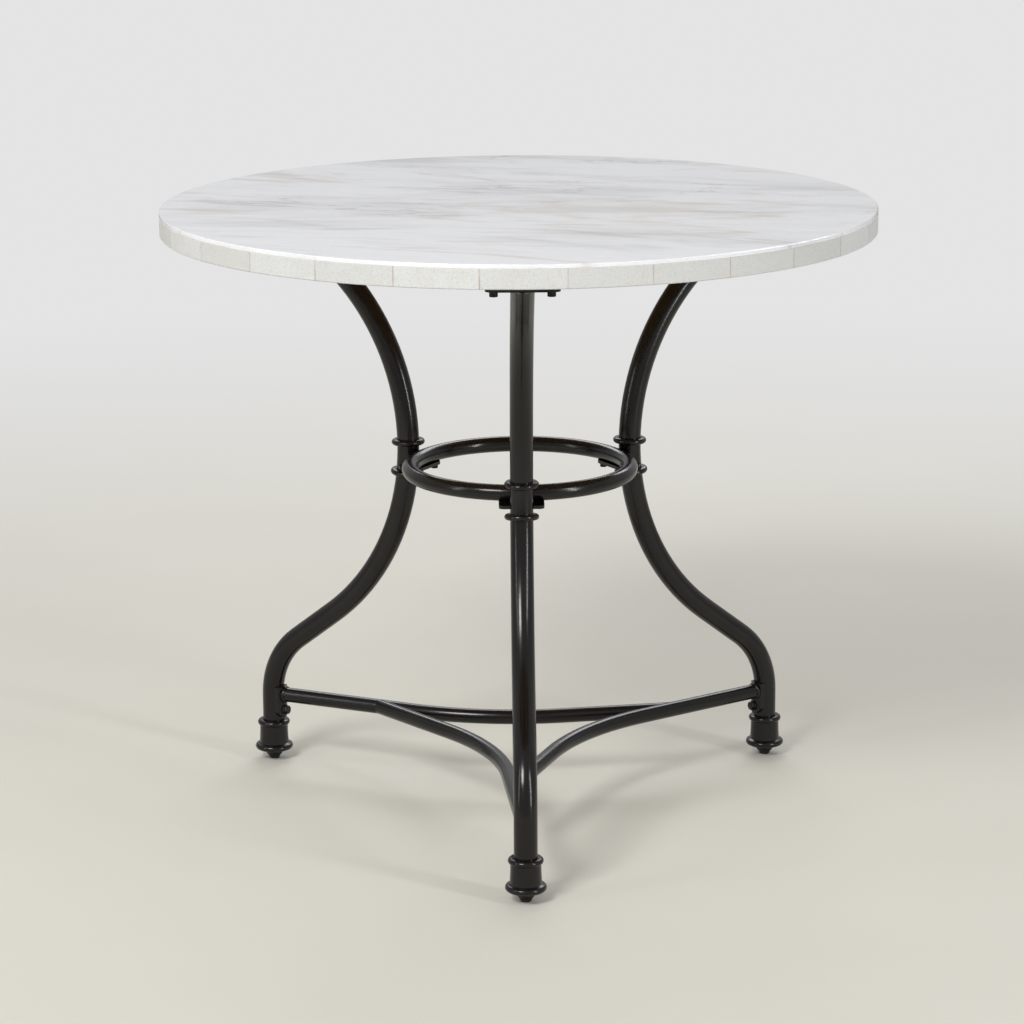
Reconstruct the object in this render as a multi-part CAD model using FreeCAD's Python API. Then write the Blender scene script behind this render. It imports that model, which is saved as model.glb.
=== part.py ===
import FreeCAD, Part
import math
import os

# Bistro table: a round stone-faced top on three bowed tube legs. A hoop ties the legs at the waist,
# three bent bars tie them near the floor, and a screw-in leveller stands under each foot.
# Millimetres. +Z is up, and the origin is on the floor, on the axis of the round top.
# Leg pieces are drawn for the front leg, whose radial direction is -Y, and then turned about Z.

Vec = FreeCAD.Vector
UP = Vec(0, 0, 1)
ORIGIN = Vec(0, 0, 0)

# ---- driving dimensions -----------------------------------------------------------------------
# Top
table_height = 762.0
top_diameter = 876.0
slab_thickness = 5.0
band_height = 23.5
band_width = 22.0
band_count = 28
band_joint = 1.2
filler_recess = 0.3
stone_arris = 1.0
seam_chamfer = 0.5
backing_setback = 72.0
backing_thickness = 12.0

# Legs
leg_directions = {"front": 0.0, "right": 120.0, "left": -120.0}
leg_diameter = 28.0
leg_wall = 2.0
waist_radius = 161.5
waist_height = 442.5
bow_radius = 290.0
lower_lean = 53.0
knee_radius = 100.0
foot_radius = 373.0

# Plates under the top
plate_width = 86.0
plate_depth = 52.0
plate_thickness = 4.0
plate_corner = 10.0
plate_edge_margin = 1.4
plate_bolt_spacing = 66.0

# Beads: half-round rings on the legs
bead_diameter = 42.0
bead_height = 7.2
upper_bead_height = 448.5
lower_bead_height = 409.0

# Hoop and its brackets
hoop_diameter = 20.0
hoop_wall = 1.5
hoop_height = 432.0
hoop_leg_gap = 1.0
bracket_width = 55.0
bracket_depth = 34.0
bracket_thickness = 4.0
bracket_corner = 7.0
bracket_bolt_spacing = 40.0

# Stretcher bars and their saddles
bar_diameter = 19.0
bar_wall = 1.5
bar_height = 88.0
bar_toe = 5.0
bar_bend = 327.0
bar_weld_distance = 156.0
saddle_thickness = 4.0
saddle_half_angle = 38.0
saddle_top = 99.0
saddle_bottom = 57.5
saddle_bolt_height = 68.0

# Feet
cup_floor_height = 10.0
cup_floor_thickness = 4.0
cup_flange_diameter = 49.0
cup_flange_height = 17.0
cup_rim_half_height = 4.0
cup_rim_inset = 3.6
cup_shoulder = 0.8
cup_barrel_diameter = 37.0
cup_top = 46.0
cup_bottom_diameter = 26.0
cup_flare = 0.6
cup_waist = 0.1
cup_neck = 0.3
plug_height = 20.0

# Levellers
screw_diameter = 8.0
screw_top = 46.0
screw_tip_chamfer = 1.0
hex_flats = 22.0
hex_base_diameter = 15.0
pad_height = 3.0
pad_diameter = 14.0
pad_face_diameter = 11.0
spigot_diameter = 6.0
spigot_depth = 1.8

# Fasteners
top_bolt_diameter = 6.0
top_bolt_head = 10.0
top_bolt_head_height = 6.0
top_bolt_key = 5.0
top_bolt_reach = 20.0
washer_diameter = 13.0
washer_thickness = 1.6
lock_washer_diameter = 10.6
lock_washer_split = 1.0
insert_diameter = 9.0
insert_length = 16.0
hoop_bolt_diameter = 5.0
hoop_bolt_head = 8.5
hoop_bolt_head_height = 5.0
hoop_bolt_key = 4.0
hoop_bolt_reach = 10.0
saddle_bolt_diameter = 6.0
saddle_bolt_flats = 10.0
saddle_bolt_flange = 13.0
saddle_bolt_head_height = 6.0
saddle_bolt_flange_height = 1.5
saddle_bolt_reach = 14.0
nut_diameter = 9.0
nut_length = 9.0

# Clearances
seat_gap = 0.1
hole_clearance = 0.5
running_clearance = 0.05
stop_gap = 0.2

# ---- worked-out values ------------------------------------------------------------------------
top_radius = top_diameter / 2
slab_bottom = table_height - slab_thickness
top_underside = slab_bottom - band_height
core_radius = top_radius - band_width
backing_radius = top_radius - backing_setback
plate_top = top_underside - backing_thickness
plate_bottom = plate_top - plate_thickness
plate_radius = backing_radius - plate_edge_margin - plate_depth / 2
leg_radius = leg_diameter / 2
leg_bore_radius = leg_radius - leg_wall
hoop_ring_radius = waist_radius - leg_radius - hoop_leg_gap - hoop_diameter / 2
saddle_radius = leg_radius + seat_gap + saddle_thickness
leg_foot_end = cup_floor_height + cup_floor_thickness
plug_radius = leg_bore_radius - seat_gap


def at(radial, across, height):
    """A point of the front leg's frame: distance from the table's axis, sideways, up."""
    return Vec(across, -radial, height)


# ---- small builders ---------------------------------------------------------------------------
def cylinder(radius, length, base, direction=UP):
    return Part.makeCylinder(radius, length, base, direction)


def box(size_x, size_y, size_z, corner):
    return Part.makeBox(size_x, size_y, size_z, corner)


def pipe(path_edges, radius):
    """A round bar that follows tangent lines and arcs."""
    path = Part.Wire(path_edges)
    start = path_edges[0].valueAt(path_edges[0].FirstParameter)
    heading = path_edges[0].tangentAt(path_edges[0].FirstParameter)
    profile = Part.Wire([Part.makeCircle(radius, start, heading)])
    return path.makePipeShell([profile], True, False)


def revolved(points_and_arcs, axis_base=ORIGIN):
    """Turns a closed outline, given as edges in the XZ plane, about the vertical through axis_base."""
    face = Part.Face(Part.Wire(points_and_arcs))
    solid = face.revolve(ORIGIN, UP, 360)
    solid.translate(axis_base)
    return solid


def outline(points):
    """Edges from (radius, height) points; a middle point tagged as a third value makes an arc."""
    edges = []
    index = 0
    vectors = [Vec(point[0], 0, point[1]) for point in points]
    while index < len(points) - 1:
        if len(points[index + 1]) == 3:
            edges.append(Part.Arc(vectors[index], vectors[index + 1], vectors[index + 2]).toShape())
            index += 2
        else:
            edges.append(Part.makeLine(vectors[index], vectors[index + 1]))
            index += 1
    return edges


def rounded_plate(size_x, size_y, thickness, corner_radius, centre, base_height):
    """A flat plate with rounded corners, centred on a point, its lower face at base_height."""
    corner = Vec(centre.x - size_x / 2, centre.y - size_y / 2, base_height)
    plate = box(size_x, size_y, thickness, corner)
    upright = [edge for edge in plate.Edges if abs(edge.tangentAt(edge.FirstParameter).z) > 0.99]
    return plate.makeFillet(corner_radius, upright)


def hexagon(flats, height, base):
    """A hexagonal prism standing on base."""
    radius = flats / 2 / math.cos(math.radians(30))
    corners = [Vec(base.x + radius * math.cos(math.radians(60 * n)),
                   base.y + radius * math.sin(math.radians(60 * n)), base.z) for n in range(7)]
    return Part.Face(Part.makePolygon(corners)).extrude(Vec(0, 0, height))


def turned(shape, name):
    """The copy of a front-leg shape that belongs to the named leg."""
    copy = shape.copy()
    copy.rotate(ORIGIN, UP, leg_directions[name])
    return copy


def on_each_leg(shapes):
    """The same fasteners repeated on every leg, as a list of solids."""
    return [turned(shape, name) for name in leg_directions for shape in shapes]


# ---- leg path ---------------------------------------------------------------------------------
def bow_point(angle):
    """A point on the bowed part of the leg's centre line, angle degrees above the waist."""
    centre = waist_radius + bow_radius
    turn = math.radians(angle)
    return (centre - bow_radius * math.cos(turn), waist_height + bow_radius * math.sin(turn))


def lean_to_plate():
    """Lean, in degrees, of the straight that leaves the bow and runs to the middle of the plate."""
    inward = waist_radius + bow_radius - plate_radius
    rise = plate_bottom - waist_height
    straight = math.sqrt(inward ** 2 + rise ** 2 - bow_radius ** 2)
    return math.degrees(math.atan2(rise, inward) - math.atan2(straight, bow_radius))


def leg_path(foot_end, top_margin):
    """Centre line of a leg, from the foot end up to top_margin above the underside of its plate."""
    lean = math.radians(lower_lean)
    low = bow_point(-lower_lean)
    knee_start = foot_radius - knee_radius * (1 - math.cos(lean))
    shin = (knee_start - low[0]) / math.sin(lean)
    knee_top = low[1] - shin * math.cos(lean)
    knee_bottom = knee_top - knee_radius * math.sin(lean)
    half = lean / 2
    knee_middle = (foot_radius - knee_radius * (1 - math.cos(half)),
                   knee_bottom + knee_radius * math.sin(half))
    upper_lean = lean_to_plate()
    high = bow_point(upper_lean)
    rise = plate_bottom + top_margin - high[1]
    run = rise * math.tan(math.radians(upper_lean))
    foot = at(foot_radius, 0, foot_end)
    knee_low = at(foot_radius, 0, knee_bottom)
    knee_high = at(knee_start, 0, knee_top)
    bow_low = at(low[0], 0, low[1])
    bow_high = at(high[0], 0, high[1])
    waist = bow_point(0)
    return [
        Part.makeLine(foot, knee_low),
        Part.Arc(knee_low, at(knee_middle[0], 0, knee_middle[1]), knee_high).toShape(),
        Part.makeLine(knee_high, bow_low),
        Part.Arc(bow_low, at(waist[0], 0, waist[1]), bow_high).toShape(),
        Part.makeLine(bow_high, at(high[0] + run, 0, high[1] + rise)),
    ]


def leg_at(height):
    """Distance from the axis and lean, in degrees, of the bowed part of a leg at a height."""
    angle = math.degrees(math.asin((height - waist_height) / bow_radius))
    return bow_point(angle)[0], angle


top_bolt_spots = [at(plate_radius, side * plate_bolt_spacing / 2, 0) for side in (-1, 1)]
hoop_bolt_radial = math.sqrt(hoop_ring_radius ** 2 - (bracket_bolt_spacing / 2) ** 2)
hoop_bolt_spots = [at(hoop_bolt_radial, side * bracket_bolt_spacing / 2, 0) for side in (-1, 1)]
bracket_top = hoop_height - hoop_diameter / 2 - seat_gap
bracket_bottom = bracket_top - bracket_thickness
saddle_bolt_axis = at(foot_radius, 0, saddle_bolt_height)
INWARD = Vec(0, 1, 0)


def leg_trim():
    """Everything above the underside of the top plates."""
    return box(4 * top_radius, 4 * top_radius, table_height, Vec(-2 * top_radius, -2 * top_radius, plate_bottom))


def leg_envelope():
    """The space a leg tube needs, with the seat gap all round."""
    margin = 2 * leg_diameter
    return pipe(leg_path(leg_foot_end, margin), leg_radius + seat_gap).cut(leg_trim())


# ---- the top ----------------------------------------------------------------------------------
def marble_slab():
    """The polished facing stone, with a rounded upper arris and a small chamfer at the seam."""
    slab = cylinder(top_radius, slab_thickness, Vec(0, 0, slab_bottom))
    rims = [edge for edge in slab.Edges if edge.Closed and abs(edge.Length - math.tau * top_radius) < 1]
    upper = [edge for edge in rims if edge.BoundBox.ZMin > slab_bottom + slab_thickness / 2]
    slab = slab.makeFillet(stone_arris, upper)
    lower = [edge for edge in slab.Edges if edge.Closed and edge.BoundBox.ZMax < slab_bottom + 0.01]
    return slab.makeChamfer(seam_chamfer, lower)


def band_ring(outer_radius):
    """The whole edge band before it is cut into blocks."""
    inner = core_radius + seat_gap
    foot = top_underside
    points = [
        (inner, foot), (outer_radius - stone_arris, foot), (outer_radius, foot + stone_arris),
        (outer_radius, slab_bottom - seam_chamfer), (outer_radius - seam_chamfer, slab_bottom),
        (inner, slab_bottom), (inner, foot),
    ]
    return revolved(outline(points))


def joint_slots():
    """One thin upright box for each joint of the band; a block is centred on the front leg."""
    step = 360.0 / band_count
    slot = box(band_joint, 2 * band_width, band_height, Vec(-band_joint / 2, -top_radius - band_width / 2, top_underside))
    slots = []
    for number in range(band_count):
        copy = slot.copy()
        copy.rotate(ORIGIN, UP, (number + 0.5) * step)
        slots.append(copy)
    return slots


def edge_band():
    return band_ring(top_radius).cut(joint_slots()).Solids


def edge_joints():
    filler_ring = band_ring(top_radius - filler_recess)
    return [filler_ring.common(slot).Solids[0] for slot in joint_slots()]


def insert_holes(radius):
    """Blind holes for the threaded inserts, drilled up from the underside of the backing board."""
    holes = [cylinder(radius, insert_length, Vec(spot.x, spot.y, plate_top)) for spot in top_bolt_spots]
    return on_each_leg(holes)


def core_board():
    board = cylinder(core_radius, band_height, Vec(0, 0, top_underside))
    return board.cut(insert_holes(insert_diameter / 2 + seat_gap))


def backing_board():
    board = cylinder(backing_radius, backing_thickness, Vec(0, 0, plate_top))
    return board.cut(insert_holes(insert_diameter / 2 + seat_gap))


def threaded_inserts():
    inserts = []
    for spot in top_bolt_spots:
        base = Vec(spot.x, spot.y, plate_top)
        body = cylinder(insert_diameter / 2, insert_length, base)
        bore = cylinder(top_bolt_diameter / 2 + running_clearance, insert_length, base)
        inserts.append(body.cut(bore))
    return on_each_leg(inserts)


# ---- fasteners of the top ---------------------------------------------------------------------
def cap_bolt(diameter, reach, head_diameter, head_height, key, seat):
    """A socket-head bolt that points up, with the underside of its head's seat at seat."""
    shank = cylinder(diameter / 2, reach, seat)
    head = cylinder(head_diameter / 2, head_height, seat - Vec(0, 0, head_height))
    rim = [edge for edge in head.Edges if edge.Closed and edge.BoundBox.ZMax < seat.z - head_height / 2]
    head = head.makeFillet(head_height / 8, rim)
    socket = hexagon(key, head_height / 2, seat - Vec(0, 0, head_height))
    return head.fuse(shank).removeSplitter().cut(socket)


def top_bolts():
    drop = 2 * washer_thickness
    return on_each_leg([
        cap_bolt(top_bolt_diameter, top_bolt_reach + drop, top_bolt_head, top_bolt_head_height,
                 top_bolt_key, Vec(spot.x, spot.y, plate_bottom - drop))
        for spot in top_bolt_spots
    ])


def washer(diameter, base):
    body = cylinder(diameter / 2, washer_thickness, base)
    return body.cut(cylinder(top_bolt_diameter / 2 + seat_gap, washer_thickness, base))


def top_washers():
    height = plate_bottom - washer_thickness
    return on_each_leg([washer(washer_diameter, Vec(spot.x, spot.y, height)) for spot in top_bolt_spots])


def top_lock_washers():
    height = plate_bottom - 2 * washer_thickness
    rings = []
    for spot in top_bolt_spots:
        ring = washer(lock_washer_diameter, Vec(spot.x, spot.y, height))
        corner = Vec(spot.x - lock_washer_split / 2, spot.y - lock_washer_diameter, height)
        rings.append(ring.cut(box(lock_washer_split, lock_washer_diameter, washer_thickness, corner)))
    return on_each_leg(rings)


# ---- leg pieces -------------------------------------------------------------------------------
def saddle_bolt_bore(radius, start, length):
    """A radial hole at the stretcher bolt, measured inward from the leg's centre line."""
    return cylinder(radius, length, saddle_bolt_axis + INWARD * start, INWARD)


def leg():
    margin = 2 * leg_diameter
    tube = pipe(leg_path(leg_foot_end, margin), leg_radius)
    bore = pipe(leg_path(leg_foot_end, margin), leg_bore_radius)
    nut_hole = saddle_bolt_bore(nut_diameter / 2 + seat_gap, 0, leg_diameter)
    return tube.cut(bore).cut(leg_trim()).cut(nut_hole)


def top_plate():
    plate = rounded_plate(plate_width, plate_depth, plate_thickness, plate_corner,
                          at(plate_radius, 0, 0), plate_bottom)
    holes = [cylinder(top_bolt_diameter / 2 + hole_clearance, plate_thickness, Vec(spot.x, spot.y, plate_bottom))
             for spot in top_bolt_spots]
    return plate.cut(holes)


def bead(radial, height, lean):
    """A half-round ring threaded on the tube, square to the tube's own direction."""
    inner = leg_radius + seat_gap
    half = bead_height / 2
    outer = bead_diameter / 2
    points = [
        (inner, -half), (outer - half, -half), (outer, 0, "arc"), (outer - half, half),
        (inner, half), (inner, -half),
    ]
    ring = revolved(outline(points))
    ring.rotate(ORIGIN, Vec(1, 0, 0), lean)
    ring.translate(at(radial, 0, height))
    return ring


def upper_bead():
    radial, lean = leg_at(upper_bead_height)
    return bead(radial, upper_bead_height, lean)


def lower_bead():
    radial, lean = leg_at(lower_bead_height)
    return bead(radial, lower_bead_height, lean)


def foot_bead():
    return bead(foot_radius, cup_top + bead_height / 2, 0)


# ---- hoop -------------------------------------------------------------------------------------
def hoop_bolt_holes(radius, base_height, length):
    return on_each_leg([cylinder(radius, length, Vec(spot.x, spot.y, base_height)) for spot in hoop_bolt_spots])


def ring_hoop():
    centre = Vec(0, 0, hoop_height)
    tube = Part.makeTorus(hoop_ring_radius, hoop_diameter / 2, centre, UP)
    bore = Part.makeTorus(hoop_ring_radius, hoop_diameter / 2 - hoop_wall, centre, UP)
    holes = hoop_bolt_holes(hoop_bolt_diameter / 2 + running_clearance, bracket_top, hoop_diameter / 2)
    return tube.cut(bore).cut(holes)


def ring_bracket():
    """A flat lug under the hoop, notched round the leg it is welded to."""
    outer_edge = leg_at(bracket_top)[0]
    centre = at(outer_edge - bracket_depth / 2, 0, 0)
    plate = rounded_plate(bracket_width, bracket_depth, bracket_thickness, bracket_corner, centre, bracket_bottom)
    holes = [cylinder(hoop_bolt_diameter / 2 + hole_clearance / 2, bracket_thickness,
                      Vec(spot.x, spot.y, bracket_bottom)) for spot in hoop_bolt_spots]
    return plate.cut(leg_envelope()).cut(holes)


def ring_bolts():
    return on_each_leg([
        cap_bolt(hoop_bolt_diameter, hoop_bolt_reach, hoop_bolt_head, hoop_bolt_head_height,
                 hoop_bolt_key, Vec(spot.x, spot.y, bracket_bottom))
        for spot in hoop_bolt_spots
    ])


# ---- stretcher --------------------------------------------------------------------------------
def bar_path():
    """Centre line of the bar that starts at the front leg and is welded to the left leg's bar.

    It leaves the leg toe degrees off the radius, bends round a circle centred on the line halfway
    between the two legs, and runs straight on to the weld.
    """
    toe = math.radians(bar_toe)
    first = Vec(-math.sin(toe), math.cos(toe), 0)
    left_normal = Vec(-math.cos(toe), -math.sin(toe), 0)
    start = at(foot_radius, 0, 0)
    halfway = Vec(-math.sin(math.radians(60)), -math.cos(math.radians(60)), 0)
    reach = (bar_bend + start.dot(left_normal)) / halfway.dot(left_normal)
    centre = halfway * reach
    bend_start = centre - left_normal * bar_bend
    weld = start + first * bar_weld_distance
    turn = math.radians(leg_directions["left"])
    weld = Vec(weld.x * math.cos(turn) - weld.y * math.sin(turn),
               weld.x * math.sin(turn) + weld.y * math.cos(turn), 0)
    to_weld = weld - centre
    spread = math.acos(bar_bend / to_weld.Length)
    weld_angle = math.atan2(to_weld.y, to_weld.x)
    start_angle = math.atan2(bend_start.y - centre.y, bend_start.x - centre.x)
    end_angle = weld_angle - spread
    bend_angle = (end_angle - start_angle + math.pi) % math.tau - math.pi
    middle_angle = start_angle + bend_angle / 2
    lift = Vec(0, 0, bar_height)
    middle = centre + Vec(math.cos(middle_angle), math.sin(middle_angle), 0) * bar_bend
    bend_end = centre + Vec(math.cos(end_angle), math.sin(end_angle), 0) * bar_bend
    return [
        Part.makeLine(start + lift, bend_start + lift),
        Part.Arc(bend_start + lift, middle + lift, bend_end + lift).toShape(),
        Part.makeLine(bend_end + lift, weld + lift),
    ]


def whole_bar(radius):
    return pipe(bar_path(), radius)


def saddle_clearance():
    """The saddle's own cylinder with the seat gap, which squares off the start of a bar."""
    radius = saddle_radius + seat_gap
    return cylinder(radius, table_height / 4, at(foot_radius, 0, 0))


def stretcher_bar():
    """A bar with its start shaped to the saddle and its end shaped to the next leg's bar."""
    next_bar = turned(whole_bar(bar_diameter / 2 + seat_gap), "left")
    tube = whole_bar(bar_diameter / 2).cut(whole_bar(bar_diameter / 2 - bar_wall))
    pieces = tube.cut(saddle_clearance()).cut(next_bar).Solids
    return max(pieces, key=lambda piece: piece.Volume)


def stretcher_saddle():
    """A curved lug on the inner side of the leg, round at its lower end."""
    height = saddle_top - saddle_bottom
    base = at(foot_radius, 0, saddle_bottom)
    shell = cylinder(saddle_radius, height, base)
    half_width = saddle_radius * math.sin(math.radians(saddle_half_angle))
    body = box(2 * half_width, 2 * saddle_radius, height - half_width, base + Vec(-half_width, 0, half_width))
    tip = cylinder(half_width, 2 * saddle_radius, base + Vec(0, 0, half_width), INWARD)
    shaped = shell.common(body.fuse(tip))
    bolt_hole = saddle_bolt_bore(saddle_bolt_diameter / 2 + hole_clearance / 2, 0, 2 * leg_diameter)
    return shaped.cut(leg_envelope()).cut(bolt_hole)


def stretcher_bolts():
    """Flanged hexagon bolts that hold the saddles to the legs from inside the table."""
    seat = saddle_bolt_axis + INWARD * saddle_radius
    flange = cylinder(saddle_bolt_flange / 2, saddle_bolt_flange_height, seat, INWARD)
    head = hexagon(saddle_bolt_flats, saddle_bolt_head_height, ORIGIN)
    crown = cylinder(saddle_bolt_flats / 2 / math.cos(math.radians(30)), saddle_bolt_head_height, ORIGIN)
    rim = [edge for edge in crown.Edges if edge.Closed and edge.BoundBox.ZMin > saddle_bolt_head_height / 2]
    head = head.common(crown.makeFillet(saddle_bolt_flats / 6, rim))
    head.rotate(ORIGIN, Vec(1, 0, 0), -90)
    head.translate(seat)
    shank = cylinder(saddle_bolt_diameter / 2, saddle_bolt_reach, seat, INWARD * -1)
    return on_each_leg([head.fuse([flange, shank]).removeSplitter()])


def stretcher_nuts():
    """Rivet nuts set in the leg wall, behind the saddles."""
    start = leg_radius - nut_length - leg_wall / 2
    body = saddle_bolt_bore(nut_diameter / 2, start, nut_length)
    bore = saddle_bolt_bore(saddle_bolt_diameter / 2 + running_clearance, start, nut_length)
    return on_each_leg([body.cut(bore)])


# ---- feet -------------------------------------------------------------------------------------
def foot_cup():
    """A cast cup on the end of the leg: a round-edged rim low down, and a barrel above it."""
    low = cup_floor_height
    bore = leg_radius + seat_gap
    hole = screw_diameter / 2 + hole_clearance
    barrel = cup_barrel_diameter / 2
    flange = cup_flange_diameter / 2
    middle = cup_flange_height
    rim = flange - cup_rim_inset
    rim_top = middle + cup_rim_half_height
    shoulder = rim_top + cup_shoulder
    bottom = cup_bottom_diameter / 2
    points = [
        (hole, low), (bottom, low), (rim, middle - cup_rim_half_height), (flange, middle, "arc"), (rim, rim_top),
        (barrel + cup_flare, shoulder), (barrel - cup_waist, (shoulder + cup_top) / 2, "arc"),
        (barrel - cup_neck, cup_top), (bore, cup_top), (bore, leg_foot_end), (hole, leg_foot_end), (hole, low),
    ]
    return revolved(outline(points), at(foot_radius, 0, 0))


def foot_plug():
    """The threaded plug inside the leg tube that the leveller screws into."""
    base = at(foot_radius, 0, leg_foot_end)
    body = cylinder(plug_radius, plug_height, base)
    return body.cut(cylinder(screw_diameter / 2 + running_clearance, plug_height, base))


def leveller_screw():
    """The adjusting screw: threaded shank, tapered hexagon and a spigot that turns in the pad."""
    axis = at(foot_radius, 0, 0)
    hex_top = cup_floor_height - stop_gap
    hex_bottom = pad_height + stop_gap
    hex_height = hex_top - hex_bottom
    corner_radius = hex_flats / 2 / math.cos(math.radians(30))
    taper = Part.makeCone(hex_base_diameter / 2, corner_radius, hex_height, axis + Vec(0, 0, hex_bottom), UP)
    head = hexagon(hex_flats, hex_height, axis + Vec(0, 0, hex_bottom)).common(taper)
    shank = cylinder(screw_diameter / 2, screw_top - hex_top, axis + Vec(0, 0, hex_top))
    tip = [edge for edge in shank.Edges if edge.Closed and edge.BoundBox.ZMin > cup_top / 2]
    shank = shank.makeChamfer(screw_tip_chamfer, tip)
    spigot_length = spigot_depth + stop_gap / 2
    spigot = cylinder(spigot_diameter / 2, spigot_length, axis + Vec(0, 0, hex_bottom - spigot_length))
    return head.fuse([shank, spigot]).removeSplitter()


def leveller_pad():
    """The plastic pad that stays still on the floor while the screw turns in it."""
    outer = pad_diameter / 2
    face = pad_face_diameter / 2
    socket = spigot_diameter / 2 + running_clearance
    socket_floor = pad_height - spigot_depth - stop_gap / 2
    points = [
        (0, 0), (face, 0), (face + (outer - face) * 0.7, pad_height * 0.2, "arc"), (outer, pad_height * 0.6),
        (outer, pad_height), (socket, pad_height), (socket, socket_floor), (0, socket_floor), (0, 0),
    ]
    return revolved(outline(points), at(foot_radius, 0, 0))


# ---- write every node -------------------------------------------------------------------------
def write(node, shape):
    """Saves one node as parts/NODE.step; a list of solids becomes one group."""
    solids = shape if isinstance(shape, list) else shape.Solids
    for solid in solids:
        if not solid.isValid():
            raise ValueError(node + " has a solid that is not valid")
    group = solids[0] if len(solids) == 1 else Part.makeCompound(solids)
    group.exportStep(os.path.join("parts", node + ".step"))
    volume = sum(solid.Volume for solid in solids) / 1000
    print(f"{node:28s} {len(solids):3d} solids {volume:10.2f} cm3")


def main():
    os.makedirs("parts", exist_ok=True)
    for builder in (marble_slab, edge_band, edge_joints, core_board, backing_board, threaded_inserts,
                    top_bolts, top_washers, top_lock_washers, ring_hoop, ring_bolts, stretcher_bolts,
                    stretcher_nuts):
        write(builder.__name__, builder())
    for builder in (leg, top_plate, upper_bead, lower_bead, foot_bead, ring_bracket, stretcher_saddle,
                    stretcher_bar, foot_cup, foot_plug, leveller_screw, leveller_pad):
        shape = builder()
        for name in leg_directions:
            write(builder.__name__ + "_" + name, turned(shape, name))


main()
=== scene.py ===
# %% [markdown]
# # A bistro table with a stone-faced top and tube legs
#
# The table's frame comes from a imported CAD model. It already has every piece that has a real size:
# the facing stone, the blocks round its rim, the boards, the tubes, the rings, the feet and the bolts.
# What CAD leaves out is how the table looks, and the small work of a welder and a stone polisher.
# This lesson adds those: the fillets of weld metal where tubes meet plates, the grout in the seam
# under the facing stone, and a finish for every surface.
#
# Lengths are in metres. The table stands on z = 0, its axis is the Z axis, and the front leg points
# along -Y.

import math

import bpy
from mathutils import Matrix, Vector


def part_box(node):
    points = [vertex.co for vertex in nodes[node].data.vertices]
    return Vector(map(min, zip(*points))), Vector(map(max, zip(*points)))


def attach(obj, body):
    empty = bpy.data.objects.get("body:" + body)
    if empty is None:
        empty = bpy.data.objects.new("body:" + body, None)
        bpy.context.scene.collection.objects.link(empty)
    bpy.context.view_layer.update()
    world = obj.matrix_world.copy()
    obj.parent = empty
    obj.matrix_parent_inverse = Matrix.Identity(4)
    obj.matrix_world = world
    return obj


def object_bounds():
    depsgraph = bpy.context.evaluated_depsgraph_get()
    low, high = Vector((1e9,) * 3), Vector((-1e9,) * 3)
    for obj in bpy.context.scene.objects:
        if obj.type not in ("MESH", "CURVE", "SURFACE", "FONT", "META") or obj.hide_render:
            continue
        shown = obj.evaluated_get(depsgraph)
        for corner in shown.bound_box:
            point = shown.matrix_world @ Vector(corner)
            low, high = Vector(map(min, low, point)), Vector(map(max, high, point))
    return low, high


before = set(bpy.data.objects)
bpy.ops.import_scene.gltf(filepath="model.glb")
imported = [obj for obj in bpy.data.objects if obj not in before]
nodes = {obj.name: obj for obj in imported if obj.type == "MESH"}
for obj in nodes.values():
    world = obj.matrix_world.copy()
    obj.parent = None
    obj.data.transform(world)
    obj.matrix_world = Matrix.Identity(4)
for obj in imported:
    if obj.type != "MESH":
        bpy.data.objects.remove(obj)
cad_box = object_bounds()
print("CAD nodes:", len(nodes), "from", tuple(cad_box[0]), "to", tuple(cad_box[1]))

# %% [markdown]
# ## Where things are
#
# Every place is read from the frame, so that a change in CAD carries through. The three legs stand a
# third of a turn apart, so a piece is modelled once on the front leg, and copies are turned about Z.

# %% Places and sizes read from the frame
LEG_TURNS = {"front": 0.0, "right": 120.0, "left": -120.0}


def middle(node):
    low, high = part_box(node)
    return (low + high) / 2


def size(node):
    low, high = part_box(node)
    return high - low


table_height = cad_box[1].z
top_radius = size("marble_slab").x / 2
seam_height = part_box("marble_slab")[0].z
plate_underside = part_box("top_plate_front")[0].z
foot_middle = middle("leveller_screw_front")
foot_radius = -foot_middle.y
print("top radius", round(top_radius, 4), "foot radius", round(foot_radius, 4))

# %% [markdown]
# ## Helpers for modelling by hand
#
# Blender's operators act on whatever is selected, and loading the frame leaves all of its nodes
# selected. So each piece starts from a clean selection. A primitive is added at its size and place,
# then shaped in edit mode. At the end its place is applied, so that its object sits at the origin as
# a CAD node does.

# %% Selection, finishing and copies
def start_clean():
    if bpy.context.object and bpy.context.object.mode != "OBJECT":
        bpy.ops.object.mode_set(mode="OBJECT")
    bpy.ops.object.select_all(action="DESELECT")


def finish_piece(name, body, material, smooth_angle=40.0):
    """Leaves edit mode, cleans the mesh, puts its place in the mesh and gives it its finish."""
    bpy.ops.object.mode_set(mode="EDIT")
    bpy.ops.mesh.select_all(action="SELECT")
    bpy.ops.mesh.remove_doubles(threshold=1e-6)
    bpy.ops.mesh.normals_make_consistent(inside=False)
    bpy.ops.object.mode_set(mode="OBJECT")
    piece = bpy.context.object
    bpy.ops.object.transform_apply(location=True, rotation=True, scale=True)
    bpy.ops.object.shade_smooth_by_angle(angle=math.radians(smooth_angle))
    piece.name = name
    piece.data.materials.clear()
    piece.data.materials.append(material)
    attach(piece, body)
    print("made", name, "with", len(piece.data.polygons), "faces")
    return piece


def turned_copy(piece, name, body, degrees):
    """A copy with its own mesh, turned about the table's axis."""
    copy = piece.copy()
    copy.data = piece.data.copy()
    copy.name = name
    bpy.context.scene.collection.objects.link(copy)
    copy.data.transform(Matrix.Rotation(math.radians(degrees), 4, "Z"))
    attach(copy, body)
    return copy


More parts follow.
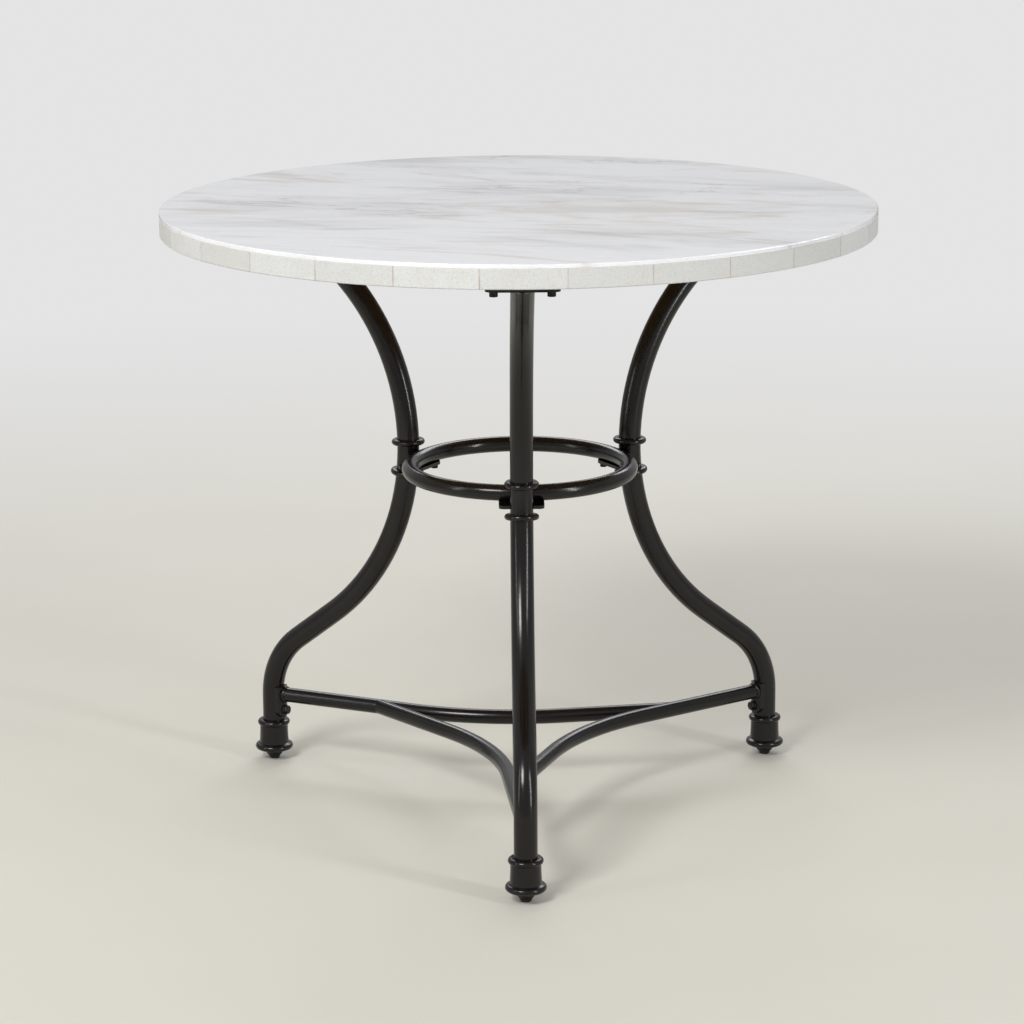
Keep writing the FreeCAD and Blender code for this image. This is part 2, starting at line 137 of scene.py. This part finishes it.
def on_every_leg(piece, base_name, body):
    """Copies the front leg's piece, turned, to the other two legs. A body ending in _ is the leg's own."""
    for leg, degrees in LEG_TURNS.items():
        if leg != "front":
            own_body = body + leg if body.endswith("_") else body
            turned_copy(piece, base_name + "_" + leg, own_body, degrees)
    print("copied", base_name, "to the other legs")


# %% [markdown]
# ## Shader maths as plain expressions
#
# A material in Blender is a graph of nodes. Adding and multiplying in it takes a Math node each time,
# which makes a formula hard to read. A small class that holds one output socket and knows the
# operators lets a formula be written as a formula.

# %% A wire of the shader graph
class Wire:
    """One output of a node. Operators on wires add Math nodes to the same material."""

    def __init__(self, tree, socket):
        self.tree = tree
        self.socket = socket

    def node(self, kind, settings=(), inputs=(), output=0):
        """Adds any node: its settings first, then the values or wires of its inputs."""
        made = self.tree.nodes.new(kind)
        for name, value in dict(settings).items():
            if name == "stops":
                set_stops(made.color_ramp, value)
            else:
                setattr(made, name, value)
        for name, value in dict(inputs).items():
            if isinstance(value, Wire):
                self.tree.links.new(value.socket, made.inputs[name])
            else:
                made.inputs[name].default_value = value
        return Wire(self.tree, made.outputs[output])

    def maths(self, operation, first, second=0.0):
        return self.node("ShaderNodeMath", {"operation": operation}, {0: first, 1: second})

    def __add__(self, other):
        return self.maths("ADD", self, other)

    def __sub__(self, other):
        return self.maths("SUBTRACT", self, other)

    def __rsub__(self, other):
        return self.maths("SUBTRACT", other, self)

    def __mul__(self, other):
        return self.maths("MULTIPLY", self, other)

    __radd__ = __add__
    __rmul__ = __mul__

    def distance_from(self, value):
        return self.maths("ABSOLUTE", self - value)

    def step(self, low, high):
        """0 below low, 1 above high, smooth between; low may be the larger one."""
        settings = {"interpolation_type": "SMOOTHSTEP"}
        if low < high:
            return self.node("ShaderNodeMapRange", settings, {0: self, 1: low, 2: high})
        return 1 - self.node("ShaderNodeMapRange", settings, {0: self, 1: high, 2: low})

    def colours(self, low, high):
        """A colour that goes from low to high as this wire goes from 0 to 1."""
        return self.node("ShaderNodeMix", {"data_type": "RGBA"}, {0: self, 6: low, 7: high}, output=2)

    def placed(self, scale=(1, 1, 1), turn=(0, 0, 0), centre=(0, 0, 0)):
        """A position wire, centred, turned and stretched."""
        return self.node("ShaderNodeMapping", {"vector_type": "TEXTURE"},
                         {"Vector": self, "Location": centre, "Rotation": turn, "Scale": scale})

    def noise(self, scale, detail=4.0, roughness=0.5, distortion=0.0):
        """Soft noise on a position wire, from 0 to 1."""
        return self.node("ShaderNodeTexNoise", {}, {
            "Vector": self, "Scale": scale, "Detail": detail, "Roughness": roughness,
            "Distortion": distortion})

    def bump(self, strength, distance):
        """A height wire turned into a normal."""
        return self.node("ShaderNodeBump", {}, {
            "Height": self, "Strength": strength, "Distance": distance})


def set_stops(ramp, stops):
    """Gives a colour ramp its stops: a list of place and colour."""
    while len(ramp.elements) < len(stops):
        ramp.elements.new(0.5)
    for element, (place, colour) in zip(ramp.elements, stops):
        element.position = place
        element.color = colour


def new_finish(name, **fixed):
    """A material, its shader and a wire of the position on the object. fixed sets plain values."""
    material = bpy.data.materials.new(name)
    material.use_nodes = True
    tree = material.node_tree
    shader = tree.nodes["Principled BSDF"]
    for socket, value in fixed.items():
        shader.inputs[socket.replace("_", " ")].default_value = value
    position = Wire(tree, tree.nodes.new("ShaderNodeTexCoord").outputs["Object"])
    return material, shader, position


def feed(shader, **wires):
    """Links wires to the shader's sockets, with _ for the spaces in a socket's name."""
    for socket, wire in wires.items():
        wire.tree.links.new(wire.socket, shader.inputs[socket.replace("_", " ")])


def shade(red, green, blue):
    """A colour as a paint chart gives it, 0 to 255, in the linear values that a shader wants."""
    linear = [(c / 255 / 12.92) if c <= 10 else ((c / 255 + 0.055) / 1.055) ** 2.4 for c in (red, green, blue)]
    return (*linear, 1.0)


def coat(material, *names):
    """Puts a finish on CAD nodes, in every material slot that they have."""
    for name in names:
        slots = nodes[name].material_slots
        for slot in slots:
            slot.material = material
        if not slots:
            nodes[name].data.materials.append(material)


def per_leg(*names):
    return [name + "_" + leg for name in names for leg in LEG_TURNS]


# %% [markdown]
# ## Polished marble
#
# The facing is one thin disc of white marble, polished to a soft gloss. Its ground is a cool white.
# Broad grey clouds drift across it on a slant, with finer strands, a few warmer beige streaks and
# some thin darker veins inside them. The clouds are noise on a position that is stretched along the
# drift. The veins are the places where another noise crosses its middle value, which makes thin
# wandering lines. A fine grain over it all is the stone's crystals.

# %% The marble
def make_marble():
    material, shader, position = new_finish("polished_marble", Specular_IOR_Level=0.5)
    drift = position.placed(scale=(3.4, 1.0, 1.0), turn=(0, 0, math.radians(-16)), centre=(0.05, 0.02, 0))
    broad = drift.noise(4.2, 4.0, 0.55, 1.3)
    strands = drift.placed(centre=(0.3, 0.1, 0)).noise(13.0, 8.0, 0.66, 1.7)
    warm = drift.placed(centre=(3.1, 1.7, 0)).noise(6.5, 5.0, 0.6, 1.6)
    lines = drift.placed(centre=(0.9, 5.2, 0)).noise(4.2, 7.0, 0.60, 1.5)
    haze = broad.step(0.46, 0.66)
    veins = lines.distance_from(0.5).step(0.020, 0.0) * haze
    crystals = position.noise(330.0, 3.0, 0.6)
    ground = (haze * 0.55 + haze * strands.step(0.42, 0.70) * 0.45).colours(
        shade(236, 236, 238), shade(205, 204, 207))
    ground = (strands.step(0.50, 0.74) * 0.42).colours(ground, shade(196, 192, 188))
    ground = (warm.step(0.53, 0.68) * 0.70).colours(ground, shade(206, 194, 180))
    ground = (veins * 0.60).colours(ground, shade(150, 142, 133))
    ground = (crystals.step(0.45, 0.75) * 0.16).colours(ground, shade(196, 195, 196))
    polish = 0.10 + 0.05 * position.noise(34.0, 3.0) + 0.05 * veins
    feed(shader, Base_Color=ground, Roughness=polish, Normal=crystals.bump(0.04, 0.0002))
    return material


marble = make_marble()
coat(marble, "marble_slab")
print("marble on marble_slab")

# %% [markdown]
# ## The stone blocks of the rim
#
# The rim is built of separate short blocks of a paler, softer stone with a sawn, matt face. No two
# blocks are quite alike, so each takes its own tint. Its number comes from the angle round the
# table's axis, and white noise turns the number into a shade. Over that lie a fine speckle, a few
# open pores and faint clouds.

# %% The edge stone
BLOCK_COUNT = 28


def block_number(position):
    """The number of the rim block that a position lies in, from its angle about the table's axis."""
    across = position.node("ShaderNodeSeparateXYZ", {}, {0: position}, output=0)
    away = Wire(across.tree, across.socket.node.outputs[1])
    angle = position.maths("ARCTAN2", across, away)
    return position.maths("FLOOR", angle * (BLOCK_COUNT / math.tau) + (BLOCK_COUNT + 0.5))


def make_edge_stone():
    material, shader, position = new_finish("edge_stone", Specular_IOR_Level=0.3)
    own = position.node("ShaderNodeTexWhiteNoise", {"noise_dimensions": "1D"}, {"W": block_number(position)})
    speckle = position.noise(430.0, 3.0, 0.70)
    powder = position.noise(1300.0, 2.0, 0.6)
    clouds = position.noise(38.0, 5.0, 0.6, 0.8)
    streak = position.placed(scale=(1, 1, 0.25), turn=(0.35, 0.2, 0)).noise(60.0, 4.0, 0.6, 1.0)
    stone = own.colours(shade(203, 203, 201), shade(212, 213, 212))
    stone = (clouds.step(0.46, 0.70) * 0.45).colours(stone, shade(206, 202, 194))
    stone = (streak.step(0.57, 0.72) * 0.28).colours(stone, shade(200, 188, 172))
    stone = (speckle.step(0.44, 0.66) * 0.42).colours(stone, shade(183, 181, 175))
    stone = (powder.step(0.52, 0.72) * 0.35).colours(stone, shade(225, 226, 225))
    pits = speckle.step(0.70, 0.78)
    stone = (pits * 0.5).colours(stone, shade(140, 134, 124))
    relief = speckle * 0.6 + powder * 0.3 - pits
    feed(shader, Base_Color=stone, Roughness=0.55 + 0.2 * clouds, Normal=relief.bump(0.30, 0.0005))
    return material


edge_stone = make_edge_stone()
coat(edge_stone, "edge_band")
print("edge stone on edge_band")

# %% [markdown]
# ## Grout
#
# The joints between the blocks are filled with a stone adhesive, tinted by hand. It dries a little
# darker and pinker than the stone, and unevenly. The same adhesive shows here and there in the fine
# groove under the facing stone.

# %% The grout
def make_grout():
    material, shader, position = new_finish("stone_grout", Specular_IOR_Level=0.3)
    patches = position.noise(26.0, 3.0, 0.6)
    grain = position.noise(700.0, 2.0)
    grout = patches.step(0.40, 0.62).colours(shade(200, 194, 184), shade(184, 164, 148))
    grout = (grain.step(0.5, 0.75) * 0.25).colours(grout, shade(160, 146, 130))
    feed(shader, Base_Color=grout, Roughness=0.68 + 0.15 * grain, Normal=grain.bump(0.3, 0.0004))
    return material


def make_seam_grout():
    material, shader, position = new_finish("seam_grout", Specular_IOR_Level=0.3)
    patches = position.noise(31.0, 4.0, 0.66)
    blush = position.placed(centre=(2.0, 0.7, 0)).noise(17.0, 2.0)
    grout = patches.node("ShaderNodeValToRGB", {"stops": [
        (0.38, shade(222, 220, 214)), (0.50, shade(205, 192, 172)),
        (0.60, shade(176, 148, 112)), (0.72, shade(120, 100, 84))]}, {0: patches})
    grout = (blush.step(0.58, 0.70) * 0.6).colours(grout, shade(206, 172, 160))
    feed(shader, Base_Color=grout, Roughness=0.6 + 0.2 * patches, Normal=patches.bump(0.2, 0.0003))
    return material


grout = make_grout()
seam_finish = make_seam_grout()
coat(grout, "edge_joints")
print("grout on edge_joints")

# %% [markdown]
# ## Powder-coated steel
#
# The legs, rings, plates and bars are coated with a very dark brown-black powder with a satin gloss.
# Such a coat is never quite smooth: it has the faint orange peel of melted powder, which breaks a
# highlight into soft ripples. It carries a little dust. Where a tube was welded the real coat is
# slightly uneven, which this finish leaves out. Cast feet take the same powder over a rougher skin.

# %% The powder coat
def make_powder_coat(name, peel_scale, peel_depth, gloss):
    material, shader, position = new_finish(name, Specular_IOR_Level=0.38)
    peel = position.noise(peel_scale, 2.0, 0.5)
    flecks = position.noise(1500.0, 1.0)
    dust = position.noise(14.0, 5.0, 0.65)
    coat_colour = dust.step(0.40, 0.75).colours(shade(15, 12, 11), shade(23, 19, 16))
    coat_colour = (flecks.step(0.62, 0.74) * 0.16).colours(coat_colour, shade(44, 40, 37))
    feed(shader, Base_Color=coat_colour, Roughness=gloss + 0.10 * dust + 0.05 * peel,
         Normal=peel.bump(0.22, peel_depth))
    return material


powder_coat = make_powder_coat("powder_coat", 420.0, 0.00016, 0.13)
cast_coat = make_powder_coat("powder_coat_on_casting", 240.0, 0.00040, 0.15)
coat(powder_coat, "ring_hoop", *per_leg(
    "leg", "top_plate", "upper_bead", "lower_bead", "foot_bead", "ring_bracket", "stretcher_saddle",
    "stretcher_bar"))
coat(cast_coat, *per_leg("foot_cup"))
print("powder coat on tubes, rings and plates, and on the cast feet")

# %% [markdown]
# ## Fasteners and levellers
#
# Bolts and washers are steel with a black oxide skin: darker in the hollows, with bare metal showing
# faintly where a key or a spanner has rubbed. Parts inside the legs are zinc plated, the inserts in
# the boards are brass, and the pads under the screws are black nylon.

# %% Black steel, zinc, brass and nylon
def make_metal(name, dull, bright, roughness, metallic=1.0, grain_scale=600.0):
    material, shader, position = new_finish(name)
    grain = position.noise(grain_scale, 3.0, 0.6)
    rub = position.noise(160.0, 4.0, 0.6)
    metal = (rub.step(0.45, 0.72)).colours(dull, bright)
    feed(shader, Base_Color=metal, Roughness=roughness + 0.16 * grain - 0.06 * rub,
         Metallic=metallic - 0.1 * grain, Normal=grain.bump(0.12, 0.0002))
    return material


def make_nylon():
    material, shader, position = new_finish("black_nylon", Specular_IOR_Level=0.4)
    mottle = position.noise(500.0, 3.0)
    scuffs = position.noise(120.0, 4.0, 0.7).step(0.55, 0.75)
    nylon = (scuffs * 0.5).colours(shade(30, 29, 29), shade(74, 71, 68))
    feed(shader, Base_Color=nylon, Roughness=0.42 + 0.2 * mottle, Normal=mottle.bump(0.15, 0.0002))
    return material


def make_threaded_steel(thread_start, pitch):
    """Black steel with a thread on the part of the screw above thread_start."""
    material, shader, position = new_finish("threaded_steel")
    height = position.node("ShaderNodeSeparateXYZ", {}, {0: position}, output=2)
    ridge = position.maths("FRACT", height * (1 / pitch)).distance_from(0.5) * 2
    cut = height.step(thread_start, thread_start + pitch)
    grain = position.noise(600.0, 3.0, 0.6)
    rub = position.noise(180.0, 4.0, 0.6).step(0.45, 0.70)
    metal = (rub * 0.6).colours(shade(31, 30, 30), shade(66, 62, 59))
    metal = (ridge * cut * 0.6).colours(metal, shade(92, 88, 84))
    feed(shader, Base_Color=metal, Roughness=0.34 + 0.16 * grain, Metallic=0.75 - 0.1 * grain,
         Normal=(ridge * cut + grain * 0.1).bump(0.6, 0.0006))
    return material


black_steel = make_metal("black_steel", shade(30, 29, 29), shade(62, 59, 57), 0.34, 0.75)
zinc_steel = make_metal("zinc_steel", shade(150, 152, 156), shade(184, 186, 190), 0.30)
brass = make_metal("brass", shade(156, 122, 62), shade(196, 160, 92), 0.28)
nylon = make_nylon()
THREAD_PITCH = 0.00125
threaded_steel = make_threaded_steel(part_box("foot_cup_front")[0].z, THREAD_PITCH)
coat(black_steel, "top_bolts", "top_washers", "top_lock_washers", "ring_bolts", "stretcher_bolts")
coat(threaded_steel, *per_leg("leveller_screw"))
coat(zinc_steel, "stretcher_nuts", *per_leg("foot_plug"))
coat(brass, "threaded_inserts")
coat(nylon, *per_leg("leveller_pad"))
print("finishes on fasteners and levellers")

# %% [markdown]
# ## The boards under the stone
#
# Seen from below, the top is a backing board of birch plywood screwed to a fibre board, which closes
# the ring of stone blocks. The plywood shows long grain on its face and its glued layers at its rim,
# so the layers are drawn by height and only where the surface faces sideways. The fibre board is
# sealed with a dark paint against damp.

# %% Plywood and sealed fibre board
def make_plywood(layer_base, layer_height):
    material, shader, position = new_finish("birch_plywood", Specular_IOR_Level=0.3)
    fibres = position.placed(scale=(14, 1, 1)).noise(160.0, 6.0, 0.65, 0.4)
    figure = position.placed(scale=(7, 1, 1)).noise(9.0, 5.0, 0.55, 1.6)
    face = figure.step(0.35, 0.70).colours(shade(190, 158, 116), shade(158, 122, 82))
    face = (fibres.step(0.48, 0.72) * 0.5).colours(face, shade(122, 90, 58))
    height = position.node("ShaderNodeSeparateXYZ", {}, {0: position}, output=2)
    layer = position.maths("FRACT", (height - layer_base) * (1 / layer_height))
    rim = layer.distance_from(0.5).step(0.22, 0.28).colours(shade(196, 166, 124), shade(116, 84, 54))
    upright = position.node("ShaderNodeNewGeometry", output=1)
    facing = position.node("ShaderNodeSeparateXYZ", {}, {0: upright}, output=2)
    flat = position.maths("ABSOLUTE", facing).step(0.4, 0.6)
    feed(shader, Base_Color=flat.colours(rim, face), Roughness=0.52 + 0.16 * fibres,
         Normal=fibres.bump(0.12, 0.0004))
    return material


def make_fibre_board():
    material, shader, position = new_finish("sealed_fibre_board", Specular_IOR_Level=0.3)
    fibres = position.noise(260.0, 5.0, 0.7, 0.5)
    brushed = position.placed(scale=(9, 1, 1)).noise(80.0, 4.0, 0.6)
    paint = brushed.step(0.40, 0.70).colours(shade(58, 52, 47), shade(74, 67, 60))
    paint = (fibres.step(0.52, 0.75) * 0.35).colours(paint, shade(98, 88, 78))
    feed(shader, Base_Color=paint, Roughness=0.55 + 0.15 * fibres, Normal=fibres.bump(0.2, 0.0004))
    return material


PLY_LAYER = 0.0024
plywood = make_plywood(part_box("backing_board")[0].z, PLY_LAYER)
fibre_board = make_fibre_board()
coat(plywood, "backing_board")
coat(fibre_board, "core_board")
print("finishes on the boards")

# %% [markdown]
# ## Weld fillets
#
# A welder joins a tube to a plate with a run of metal that fills the corner. On a painted table the
# run shows as a small hollow curve all round the tube, and it is what makes the leg look as if it
# grows into its plate. A bevel between two CAD solids can't do this, because the solids are separate
# and the leg meets its plate at a slant. So each fillet is its own ring of metal: a circle is
# stretched into the ellipse of the slanted tube, extruded and drawn in along the tube, and its two
# rims are bridged on the hidden side.

# %% A slanted fillet ring
FILLET_STEPS = 5
FILLET_POINTS = 56


def fillet_ring(name, centre, lean, radius, leg_size, material):
    """A hollow fillet below a level plate, round a tube that leans outward by lean radians."""
    stretch = 1 / math.cos(lean)
    start_clean()
    bpy.ops.mesh.primitive_circle_add(vertices=FILLET_POINTS, radius=1.0, fill_type="NOTHING", location=(0, 0, 0))
    bpy.ops.object.mode_set(mode="EDIT")
    bpy.ops.mesh.select_all(action="SELECT")
    bpy.ops.transform.resize(value=(radius + leg_size, radius * stretch + leg_size, 1.0))
    width, length = radius + leg_size, radius * stretch + leg_size
    depth = 0.0
    for step in range(1, FILLET_STEPS + 1):
        angle = step / FILLET_STEPS * math.pi / 2
        next_depth = leg_size * (1 - math.cos(angle))
        spread = leg_size * (1 - math.sin(angle))
        slide = Vector((0, (next_depth - depth) * math.tan(lean), depth - next_depth))
        bpy.ops.mesh.extrude_edges_move(TRANSFORM_OT_translate={"value": slide})
        middle_now = Vector((0, next_depth * math.tan(lean), -next_depth))
        factors = ((radius + spread) / width, (radius * stretch + spread) / length, 1.0)
        bpy.ops.transform.resize(value=factors, center_override=middle_now)
        width, length, depth = radius + spread, radius * stretch + spread, next_depth
    lift = Vector((0, -depth * math.tan(lean), depth))
    bpy.ops.mesh.extrude_edges_move(TRANSFORM_OT_translate={"value": lift})
    bpy.ops.object.mode_set(mode="OBJECT")
    ring = bpy.context.object
    last_rim = len(ring.data.vertices) - FILLET_POINTS
    bpy.ops.object.mode_set(mode="EDIT")
    bpy.ops.mesh.select_all(action="DESELECT")
    bpy.ops.mesh.select_mode(type="EDGE")
    bpy.ops.object.mode_set(mode="OBJECT")
    for edge in ring.data.edges:
        edge.select = max(edge.vertices) < FILLET_POINTS or min(edge.vertices) >= last_rim
    bpy.ops.object.mode_set(mode="EDIT")
    bpy.ops.mesh.bridge_edge_loops()
    bpy.ops.object.mode_set(mode="OBJECT")
    ring.location = centre
    return finish_piece(name, "frame", material, smooth_angle=50.0)


LEG_FILLET = 0.0034
leg_top = [v.co for v in nodes["leg_front"].data.vertices if v.co.z > plate_underside - 0.0003]
leg_top_long = max(p.y for p in leg_top) - min(p.y for p in leg_top)
leg_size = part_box("leg_front")
leg_radius = (leg_size[1].x - leg_size[0].x) / 2
leg_top_lean = math.acos(min(1.0, 2 * leg_radius / leg_top_long))
leg_top_middle = Vector((0, (max(p.y for p in leg_top) + min(p.y for p in leg_top)) / 2, plate_underside))
print("leg radius", round(leg_radius, 4), "lean", round(math.degrees(leg_top_lean), 1),
      "meets its plate at", tuple(round(c, 4) for c in leg_top_middle))

# %% The fillets where the legs meet their plates
leg_weld = fillet_ring("leg_weld_front", leg_top_middle, leg_top_lean, leg_radius, LEG_FILLET,
                       powder_coat)
on_every_leg(leg_weld, "leg_weld", "frame")

# %% [markdown]
# ## Weld beads at the stretcher
#
# Each bar meets a curved saddle on its leg, and its far end is welded to the side of the next bar.
# Both welds are rounded beads; the bead at the saddle is modelled here. A torus is the natural start, but a perfect
# one looks like a rubber ring, so its rings are scaled a little unevenly, as a weld run is.

# %% A rounded weld bead
BEAD_THICKNESS = 0.0017


def weld_bead(name, centre, direction, radius, thickness, stretch=1.0):
    """A bead round a level tube, square to direction; stretch widens it sideways for a slanted joint."""
    start_clean()
    bpy.ops.mesh.primitive_torus_add(major_segments=48, minor_segments=12, major_radius=radius,
                                     minor_radius=thickness, location=(0, 0, 0))
    bpy.ops.object.mode_set(mode="EDIT")
    bpy.ops.mesh.select_all(action="SELECT")
    bpy.ops.transform.resize(value=(stretch, 1.0, 1.25))
    bpy.ops.object.mode_set(mode="OBJECT")
    bead = bpy.context.object
    for vertex in bead.data.vertices:
        around = math.atan2(vertex.co.y, vertex.co.x)
        ripple = 1 + 0.006 * math.sin(around * 17) + 0.008 * math.sin(around * 5 + 1.0)
        vertex.co.x *= ripple
        vertex.co.y *= ripple
        vertex.co.z *= 1 + 0.10 * math.sin(around * 9 + 0.6)
    turn = Vector((0, 0, 1)).rotation_difference(Vector(direction).normalized())
    sideways = turn.to_matrix().to_4x4()
    bead.data.transform(Matrix.Translation(centre) @ sideways)
    return finish_piece(name, "frame", powder_coat, smooth_angle=60.0)


bar_radius = size("stretcher_bar_front").z / 2
bar_height = middle("stretcher_bar_front").z
saddle_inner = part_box("stretcher_saddle_front")[1].y
BAR_TOE = math.radians(5.0)
bar_heading = Vector((-math.sin(BAR_TOE), math.cos(BAR_TOE), 0))
foot_axis = Vector((0, -foot_radius, bar_height))
saddle_reach = saddle_inner + foot_radius
saddle_weld_middle = foot_axis + bar_heading * (saddle_reach + 0.0006)
saddle_weld = weld_bead("saddle_weld_front", saddle_weld_middle, bar_heading, bar_radius, BEAD_THICKNESS)
on_every_leg(saddle_weld, "saddle_weld", "frame")

# %% [markdown]
# ## Grout in the seam
#
# The facing stone and the blocks both have a small chamfer where they meet, which leaves a fine
# groove all round. It was wiped full of adhesive, so a thin ring lies in it.

# %% The seam ring
start_clean()
SEAM_DEPTH = 0.00045
bpy.ops.mesh.primitive_torus_add(major_segments=224, minor_segments=6, major_radius=top_radius - 2 * SEAM_DEPTH,
                                 minor_radius=SEAM_DEPTH, location=(0, 0, seam_height))
seam_ring = finish_piece("seam_ring", "frame", seam_finish, smooth_angle=80.0)

# %% [markdown]
# ## The floor, the lamps and the camera
#
# The table stands on a plain pale floor that fades into a pale background. Four soft lamps
# light it: one high on the left and behind the viewer, a wide one behind the table, and two tall
# narrow ones at the sides that draw bright lines along the tubes. The camera looks slightly down on the table from the
# front, from about four metres, with a long lens.

# %% The floor
PALE_BACKDROP = shade(228, 228, 229)


def make_floor_finish():
    """Pale near the table; further off it fades, for the viewer's eye alone, into the backdrop."""
    material, shader, position = new_finish("pale_floor", Roughness=0.8, Specular_IOR_Level=0.2)
    tree = material.node_tree
    mottle = position.noise(3.0, 4.0)
    feed(shader, Base_Color=mottle.colours(shade(203, 200, 189), shade(209, 206, 196)))
    distance = position.node("ShaderNodeVectorMath", {"operation": "LENGTH"}, {0: position}, output=1)
    seen = position.node("ShaderNodeLightPath")
    far = distance.step(0.9, 3.6) * seen
    glow = position.node("ShaderNodeEmission", {}, {"Color": PALE_BACKDROP, "Strength": 1.0})
    near = Wire(tree, shader.outputs["BSDF"])
    mixed = position.node("ShaderNodeMixShader", {}, {0: far, 1: near, 2: glow})
    tree.links.new(mixed.socket, tree.nodes["Material Output"].inputs["Surface"])
    return material


start_clean()
bpy.ops.mesh.primitive_plane_add(size=30.0, location=(0, 0, 0))
floor = bpy.context.object
floor.name = "floor"
floor.data.materials.append(make_floor_finish())


# %% The lamps and the world
def soft_lamp(name, place, aim, width, height, watts, colour=(1, 1, 1)):
    lamp = bpy.data.lights.new(name, "AREA")
    lamp.shape = "RECTANGLE"
    lamp.size = width
    lamp.size_y = height
    lamp.energy = watts
    lamp.color = colour
    holder = bpy.data.objects.new(name, lamp)
    holder.location = place
    holder.rotation_euler = (Vector(aim) - Vector(place)).to_track_quat("-Z", "Y").to_euler()
    bpy.context.scene.collection.objects.link(holder)
    return holder


TABLE_MIDDLE = (0, 0, table_height / 2)
soft_lamp("key", (-1.9, -3.0, 3.3), TABLE_MIDDLE, 1.3, 1.3, 118.0)
soft_lamp("right_strip", (2.9, -2.3, 1.6), TABLE_MIDDLE, 0.3, 2.4, 48.0, (0.93, 0.96, 1.0))
soft_lamp("left_strip", (-3.2, -1.6, 1.6), TABLE_MIDDLE, 0.3, 2.4, 15.0, (0.93, 0.96, 1.0))
soft_lamp("back", (0.3, 3.2, 2.6), TABLE_MIDDLE, 3.2, 1.2, 60.0, (0.95, 0.97, 1.0))

world = bpy.data.worlds.new("studio")
world.use_nodes = True
sky = world.node_tree.nodes["Background"]
sky.inputs["Strength"].default_value = 1.0
shown = Wire(world.node_tree, world.node_tree.nodes.new("ShaderNodeLightPath").outputs["Is Camera Ray"])
backdrop = shown.colours((0.46, 0.46, 0.46, 1.0), PALE_BACKDROP)
world.node_tree.links.new(backdrop.socket, sky.inputs["Color"])
bpy.context.scene.world = world
print("floor, four lamps and the world")

# %% The camera
LENS = 124.35
FRAME_SHIFT = -0.0996
camera_data = bpy.data.cameras.new("camera")
camera_data.lens = LENS
camera_data.sensor_width = 36.0
camera_data.shift_y = FRAME_SHIFT
camera_data.clip_end = 100.0
camera = bpy.data.objects.new("camera", camera_data)
camera.location = (-0.052, -4.283, 1.417)
camera_turn = Matrix.Rotation(math.radians(-0.57), 4, "Z") @ Matrix.Rotation(math.radians(90 - 12.02), 4, "X")
camera.rotation_euler = (camera_turn @ Matrix.Rotation(math.radians(-0.32), 4, "Z")).to_euler()
bpy.context.scene.collection.objects.link(camera)
bpy.context.scene.camera = camera
bpy.context.scene.view_settings.view_transform = "Standard"
print("camera at", tuple(camera.location), "lens", LENS)

# %% Clear the selection
start_clean()
